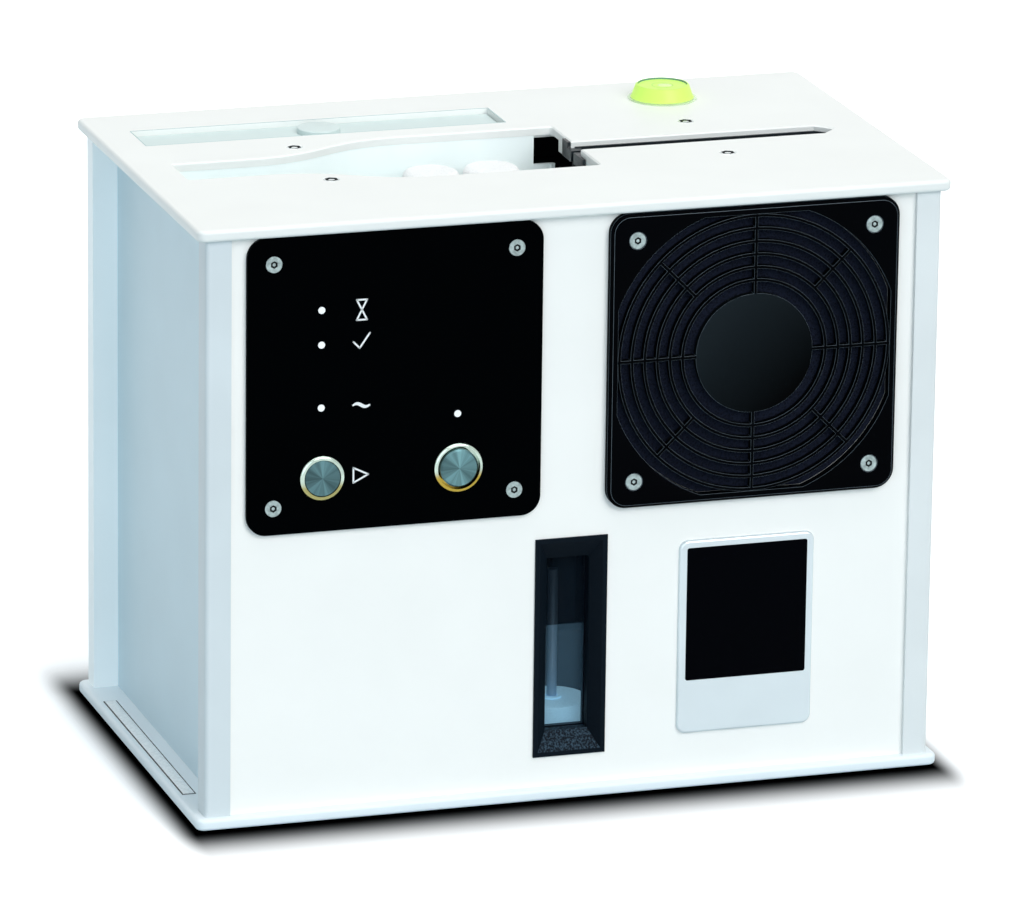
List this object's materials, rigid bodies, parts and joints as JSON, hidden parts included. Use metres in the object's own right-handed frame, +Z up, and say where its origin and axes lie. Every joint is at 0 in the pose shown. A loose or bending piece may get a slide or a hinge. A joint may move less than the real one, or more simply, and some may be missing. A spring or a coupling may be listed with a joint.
{
  "type": "record cleaning machine",
  "caption": "Box-shaped record cleaner: record slot with microfibre rollers in the top, control panel, fan guard, water window, filter lid and spirit level.",
  "frame": {"origin": "middle of the footprint, on the table under the rubber feet", "axes": "+X to the right seen from the front, +Y to the back, +Z up"},
  "size_m": [0.33, 0.198, 0.2716],
  "materials": {
    "plates": "fine white powder coat on aluminium sheet, satin",
    "posts": "satin anodised, pale grey",
    "front_panel": "smooth white paint, satin",
    "rear_panel": "smooth white paint, satin",
    "side_panels": "pale blue-grey paint, satin",
    "feet": "matte black rubber",
    "screws": "plain steel, turned heads",
    "control_panel": "black, semi-gloss",
    "light_pipes": "clear acrylic light pipes",
    "button_bezels": "polished metal",
    "button_caps": "turned and brushed",
    "circuit_board": "green solder mask",
    "fan_plastic": "black, moulded",
    "fan_filter": "open-cell foam, dark navy",
    "duct": "white, moulded",
    "trough": "white, moulded",
    "window_bezel": "blue-black, fine texture",
    "clear_window": "clear",
    "tank": "dark grey, moulded",
    "float_rod": "polished stainless steel",
    "float": "grey foam float",
    "pump": "grey, moulded",
    "valve": "black, moulded",
    "drive_metal": "plain steel",
    "gears": "ivory acetal",
    "bushes": "sintered bronze",
    "gear_plate": "plain aluminium",
    "roller_cloth": "white microfibre pile",
    "wheel_rubber": "black rubber",
    "wipers": "dark grey rubber",
    "transducers": "plain aluminium",
    "filter_tray": "pale grey, moulded",
    "filter_foam": "fine filter foam",
    "filter_lid": "pale blue-green, satin",
    "spirit_level": "clear yellow-green bubble level",
    "badge": "domed silver plate, bare",
    "inlet": "black, moulded",
    "rocker": "black",
    "supply": "aluminium case"
  },
  "bodies": {
    "machine": {"base_plate": "plates", "top_plate": "plates", "corner_post_front_left": "posts", "corner_post_front_right": "posts", "corner_post_rear_left": "posts", "corner_post_rear_right": "posts", "front_panel": "front_panel", "rear_panel": "rear_panel", "side_panel_left": "side_panels", "side_panel_right": "side_panels", "rubber_feet": "feet", "front_screws": "screws", "top_screws": "screws", "base_screws": "screws", "control_panel": "control_panel", "light_pipes": "light_pipes", "start_button_housing": "button_bezels", "dry_button_housing": "button_bezels", "control_board": "circuit_board", "fan_guard": "fan_plastic", "fan_filter": "fan_filter", "fan_housing": "fan_plastic", "drying_duct": "duct", "window_bezel": "window_bezel", "window_pane": "clear_window", "water_tank": "tank", "float_rod": "float_rod", "water_pump": "pump", "drain_valve": "valve", "wash_trough": "trough", "slot_lining": "wipers", "gear_plate": "gear_plate", "roller_motor": "drive_metal", "spindle_bushes": "bushes", "record_motor": "drive_metal", "ultrasonic_transducers": "transducers", "filter_tray": "filter_tray", "filter_cartridge": "filter_foam", "spirit_level": "spirit_level", "badge_plate": "badge", "power_inlet": "inlet", "power_supply": "supply"},
    "start_button": {"start_button_cap": "button_caps"},
    "dry_button": {"dry_button_cap": "button_caps"},
    "fan": {"fan_rotor": "fan_plastic"},
    "float": {"level_float": "float"},
    "pinion": {"motor_pinion": "gears"},
    "wheel_left": {"record_wheel_left": "wheel_rubber"},
    "wheel_right": {"record_wheel_right": "wheel_rubber"},
    "lid": {"filter_lid": "filter_lid"},
    "rocker": {"power_rocker": "rocker"},
    "roller_front_left": {"roller_spindle_front_left": "gears", "roller_sleeve_front_left": "roller_cloth"},
    "roller_front_right": {"roller_spindle_front_right": "gears", "roller_sleeve_front_right": "roller_cloth"},
    "roller_rear_left": {"roller_spindle_rear_left": "gears", "roller_sleeve_rear_left": "roller_cloth"},
    "roller_rear_right": {"roller_spindle_rear_right": "gears", "roller_sleeve_rear_right": "roller_cloth"}
  },
  "joints": [
    {"name": "start_button_press", "type": "slide", "parent": "machine", "child": "start_button", "axis": [0, 1, 0], "range_m": [0, 0.0015], "stiffness_N_per_m": 400, "springref_m": -0.002},
    {"name": "dry_button_press", "type": "slide", "parent": "machine", "child": "dry_button", "axis": [0, 1, 0], "range_m": [0, 0.0018], "stiffness_N_per_m": 400, "springref_m": -0.002},
    {"name": "fan_spin", "type": "hinge", "parent": "machine", "child": "fan", "pos_m": [0.0778, -0.078, 0.1955], "axis": [0, 1, 0], "continuous": true},
    {"name": "roller_front_left_spin", "type": "hinge", "parent": "machine", "child": "roller_front_left", "pos_m": [-0.0315, -0.016, 0.15], "axis": [0, 0, 1], "continuous": true},
    {"name": "roller_front_right_spin", "type": "hinge", "parent": "machine", "child": "roller_front_right", "pos_m": [-0.0045, -0.016, 0.15], "axis": [0, 0, 1], "continuous": true},
    {"name": "roller_rear_left_spin", "type": "hinge", "parent": "machine", "child": "roller_rear_left", "pos_m": [-0.0315, 0.011, 0.15], "axis": [0, 0, 1], "continuous": true},
    {"name": "roller_rear_right_spin", "type": "hinge", "parent": "machine", "child": "roller_rear_right", "pos_m": [-0.0045, 0.011, 0.15], "axis": [0, 0, 1], "continuous": true},
    {"name": "motor_pinion_spin", "type": "hinge", "parent": "machine", "child": "pinion", "pos_m": [-0.054, -0.016, 0.135], "axis": [0, 0, 1], "continuous": true},
    {"name": "record_wheel_left_spin", "type": "hinge", "parent": "machine", "child": "wheel_left", "pos_m": [-0.085, -0.0025, 0.18871], "axis": [0, 1, 0], "continuous": true},
    {"name": "record_wheel_right_spin", "type": "hinge", "parent": "machine", "child": "wheel_right", "pos_m": [0.085, -0.0025, 0.18871], "axis": [0, 1, 0], "continuous": true},
    {"name": "float_rise", "type": "slide", "parent": "machine", "child": "float", "axis": [0, 0, 1], "range_m": [0, 0.05]},
    {"name": "filter_lid_lift", "type": "slide", "parent": "machine", "child": "lid", "axis": [0, 0, 1], "range_m": [0, 0.03]},
    {"name": "power_rocker_tilt", "type": "hinge", "parent": "machine", "child": "rocker", "pos_m": [0.112, 0.0964, 0.074], "axis": [-1, 0, 0], "range_deg": [0, 16]}
  ],
  "couplings": [
    {"joint": "roller_front_right_spin", "follows": "roller_front_left_spin", "ratio": -1},
    {"joint": "roller_rear_left_spin", "follows": "roller_front_left_spin", "ratio": -1},
    {"joint": "roller_rear_right_spin", "follows": "roller_front_left_spin", "ratio": 1},
    {"joint": "motor_pinion_spin", "follows": "roller_front_left_spin", "ratio": -1.5}
  ]
}
